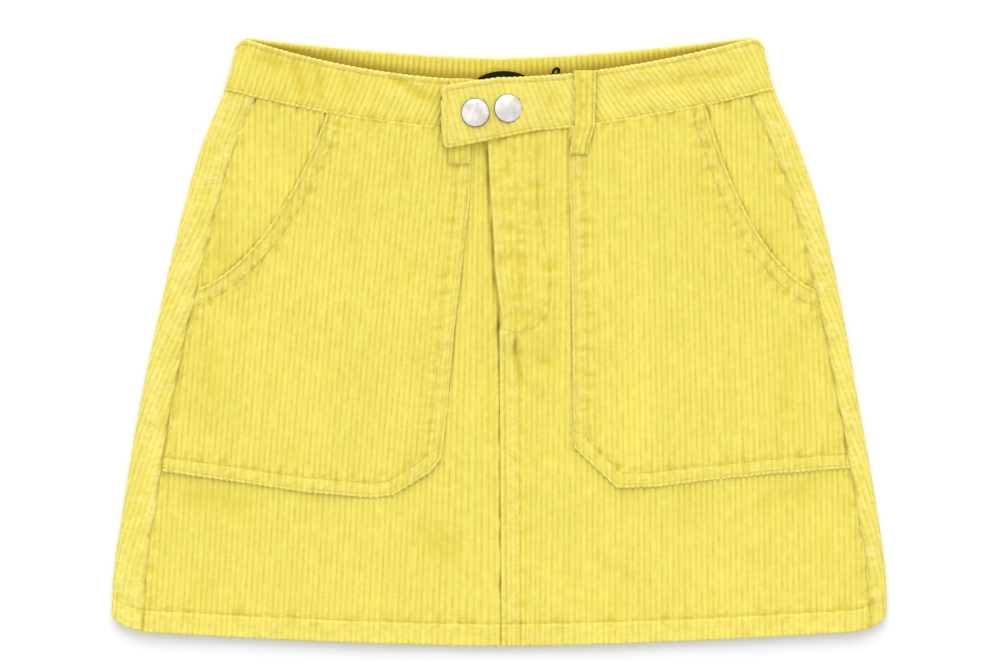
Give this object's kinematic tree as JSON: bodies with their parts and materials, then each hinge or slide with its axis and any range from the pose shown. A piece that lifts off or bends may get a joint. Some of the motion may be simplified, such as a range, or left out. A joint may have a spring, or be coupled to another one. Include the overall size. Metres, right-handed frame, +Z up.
{
  "type": "a-line mini skirt",
  "caption": "Corduroy a-line mini skirt laid flat on its back, with patch pockets, belt loops, a zip fly and a snap-fastened waist tab.",
  "frame": {"origin": "on the surface that the skirt lies on, under the middle of its bounding box", "axes": "+X across the front from the wearer's right side to the left, +Y from hem to waist, +Z up from the surface and out of the front"},
  "size_m": [0.5037, 0.3956, 0.0152],
  "materials": {
    "corduroy": "ribbed cotton pile, washed",
    "zip_tape": "matte",
    "nickel": "satin",
    "black_tape": "matte woven"
  },
  "bodies": {
    "root": {"back_panel": "corduroy", "front_left": "corduroy", "front_right": "corduroy", "waistband": "corduroy", "pocket_left": "corduroy", "pocket_right": "corduroy", "fly_shield": "corduroy", "zip": "zip_tape", "loop_front_left": "corduroy", "loop_front_right": "corduroy", "loop_back_left": "corduroy", "loop_back_centre": "corduroy", "loop_back_right": "corduroy", "snap_cap_left": "nickel", "snap_cap_right": "nickel", "label": "black_tape", "hanger_tape": "black_tape"}
  },
  "joints": []
}
